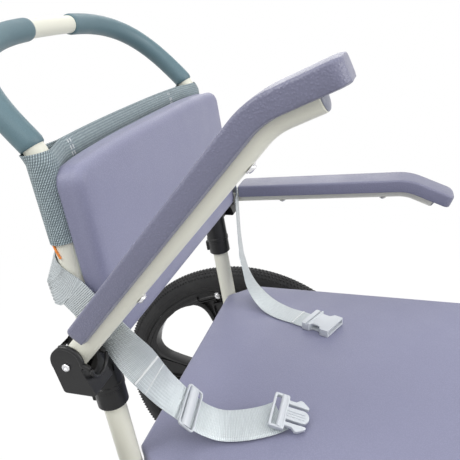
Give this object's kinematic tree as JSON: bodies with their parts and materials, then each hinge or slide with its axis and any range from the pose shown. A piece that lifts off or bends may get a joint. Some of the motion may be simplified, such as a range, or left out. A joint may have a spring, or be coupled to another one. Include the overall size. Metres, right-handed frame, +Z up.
{
  "type": "roll-in shower commode chair",
  "caption": "Wheeled shower commode chair with flip-up padded arms, mesh and foam back, lift-off padded seat over a commode pan, seat belt, push bow, large rear wheels and front casters.",
  "frame": {"origin": "on the floor under the middle of the chair's bounding box", "axes": "+Z up, the chair faces -Y, the sitter's left is +X"},
  "size_m": [0.6576, 0.9, 0.9872],
  "materials": {
    "cream_coat": "cream powder coat, satin",
    "lavender_foam": "integral skin foam, fine grain, satin",
    "slate_mesh": "woven mesh",
    "teal_grip": "soft foam grip, matte",
    "black_plastic": "fine grain",
    "black_rubber": "matte",
    "bright_steel": "bright",
    "silver_webbing": "ribbed webbing",
    "grey_buckle": "satin",
    "white_plastic": "satin",
    "grey_plastic": "satin"
  },
  "bodies": {
    "frame": {"rear_post_left": "cream_coat", "rear_post_right": "cream_coat", "push_bow": "cream_coat", "grip_left": "teal_grip", "grip_right": "teal_grip", "back_sling": "slate_mesh", "back_board": "black_plastic", "back_pad": "lavender_foam", "side_tube_left": "cream_coat", "side_tube_right": "cream_coat", "lower_rail_left": "cream_coat", "lower_rail_right": "cream_coat", "front_cross_tube": "cream_coat", "rear_cross_tube": "cream_coat", "axle_plate_left": "cream_coat", "axle_plate_right": "cream_coat", "axle_left": "bright_steel", "axle_right": "bright_steel", "commode_seat": "white_plastic", "pan_rail_left": "bright_steel", "pan_rail_right": "bright_steel", "arm_bracket_left": "black_plastic", "arm_bracket_right": "black_plastic", "arm_bolt_left": "bright_steel", "arm_bolt_right": "bright_steel", "belt_left": "silver_webbing", "belt_right": "silver_webbing", "footrest_hanger_left": "cream_coat", "footrest_hanger_right": "cream_coat", "brake_bracket_left": "bright_steel", "brake_bracket_right": "bright_steel"},
    "arm_left": {"arm_tube_left": "cream_coat", "arm_pad_left": "lavender_foam", "arm_plug_left": "grey_plastic", "arm_screw_left_1": "bright_steel", "arm_screw_left_2": "bright_steel"},
    "drive_wheel_left": {"wheel_left": "black_plastic", "tyre_left": "black_rubber", "hand_rim_left": "bright_steel"},
    "caster_left": {"caster_fork_left": "bright_steel"},
    "caster_roller_left": {"caster_wheel_left": "black_rubber"},
    "footrest_left": {"footplate_left": "black_plastic"},
    "brake_left": {"brake_lever_left": "black_plastic"},
    "arm_right": {"arm_tube_right": "cream_coat", "arm_pad_right": "lavender_foam", "arm_plug_right": "grey_plastic", "arm_screw_right_1": "bright_steel", "arm_screw_right_2": "bright_steel"},
    "drive_wheel_right": {"wheel_right": "black_plastic", "tyre_right": "black_rubber", "hand_rim_right": "bright_steel"},
    "caster_right": {"caster_fork_right": "bright_steel"},
    "caster_roller_right": {"caster_wheel_right": "black_rubber"},
    "footrest_right": {"footplate_right": "black_plastic"},
    "brake_right": {"brake_lever_right": "black_plastic"},
    "pan": {"commode_pan": "white_plastic"},
    "seat_cover": {"seat_pad": "lavender_foam", "buckle_plug": "grey_buckle", "buckle_socket": "grey_buckle", "belt_slider": "grey_buckle"}
  },
  "joints": [
    {"name": "arm_left_lift", "type": "hinge", "parent": "frame", "child": "arm_left", "pos_m": [0.239, 0.20632, 0.68168], "axis": [-1, 0, 0], "range_deg": [0, 93.7]},
    {"name": "wheel_left_roll", "type": "hinge", "parent": "frame", "child": "drive_wheel_left", "pos_m": [0.276, 0.188, 0.262], "axis": [1, 0, 0], "continuous": true},
    {"name": "caster_left_swivel", "type": "hinge", "parent": "frame", "child": "caster_left", "pos_m": [0.197, -0.235, 0.2], "axis": [0, 0, 1], "continuous": true},
    {"name": "caster_left_roll", "type": "hinge", "parent": "caster_left", "child": "caster_roller_left", "pos_m": [0.197, -0.2, 0.075], "axis": [1, 0, 0], "continuous": true},
    {"name": "footrest_left_flip", "type": "hinge", "parent": "frame", "child": "footrest_left", "pos_m": [0.197, -0.4, 0.178], "axis": [0, 1, 0], "range_deg": [0, 90]},
    {"name": "brake_left_turn", "type": "hinge", "parent": "frame", "child": "brake_left", "pos_m": [0.232, -0.09, 0.405], "axis": [1, 0, 0], "range_deg": [0, 35]},
    {"name": "arm_right_lift", "type": "hinge", "parent": "frame", "child": "arm_right", "pos_m": [-0.239, 0.20632, 0.68168], "axis": [-1, 0, 0], "range_deg": [-45.1, 48.6]},
    {"name": "wheel_right_roll", "type": "hinge", "parent": "frame", "child": "drive_wheel_right", "pos_m": [-0.276, 0.188, 0.262], "axis": [1, 0, 0], "continuous": true},
    {"name": "caster_right_swivel", "type": "hinge", "parent": "frame", "child": "caster_right", "pos_m": [-0.197, -0.235, 0.2], "axis": [0, 0, 1], "continuous": true},
    {"name": "caster_right_roll", "type": "hinge", "parent": "caster_right", "child": "caster_roller_right", "pos_m": [-0.197, -0.2, 0.075], "axis": [1, 0, 0], "continuous": true},
    {"name": "footrest_right_flip", "type": "hinge", "parent": "frame", "child": "footrest_right", "pos_m": [-0.197, -0.4, 0.178], "axis": [0, -1, 0], "range_deg": [0, 90]},
    {"name": "brake_right_turn", "type": "hinge", "parent": "frame", "child": "brake_right", "pos_m": [-0.232, -0.09, 0.405], "axis": [1, 0, 0], "range_deg": [0, 35]},
    {"name": "pan_slide", "type": "slide", "parent": "frame", "child": "pan", "axis": [0, 1, 0], "range_m": [0, 0.3]},
    {"name": "seat_lift", "type": "slide", "parent": "frame", "child": "seat_cover", "axis": [0, 0, 1], "range_m": [0, 0.1], "deforming": ["belt_left", "belt_right"]}
  ]
}
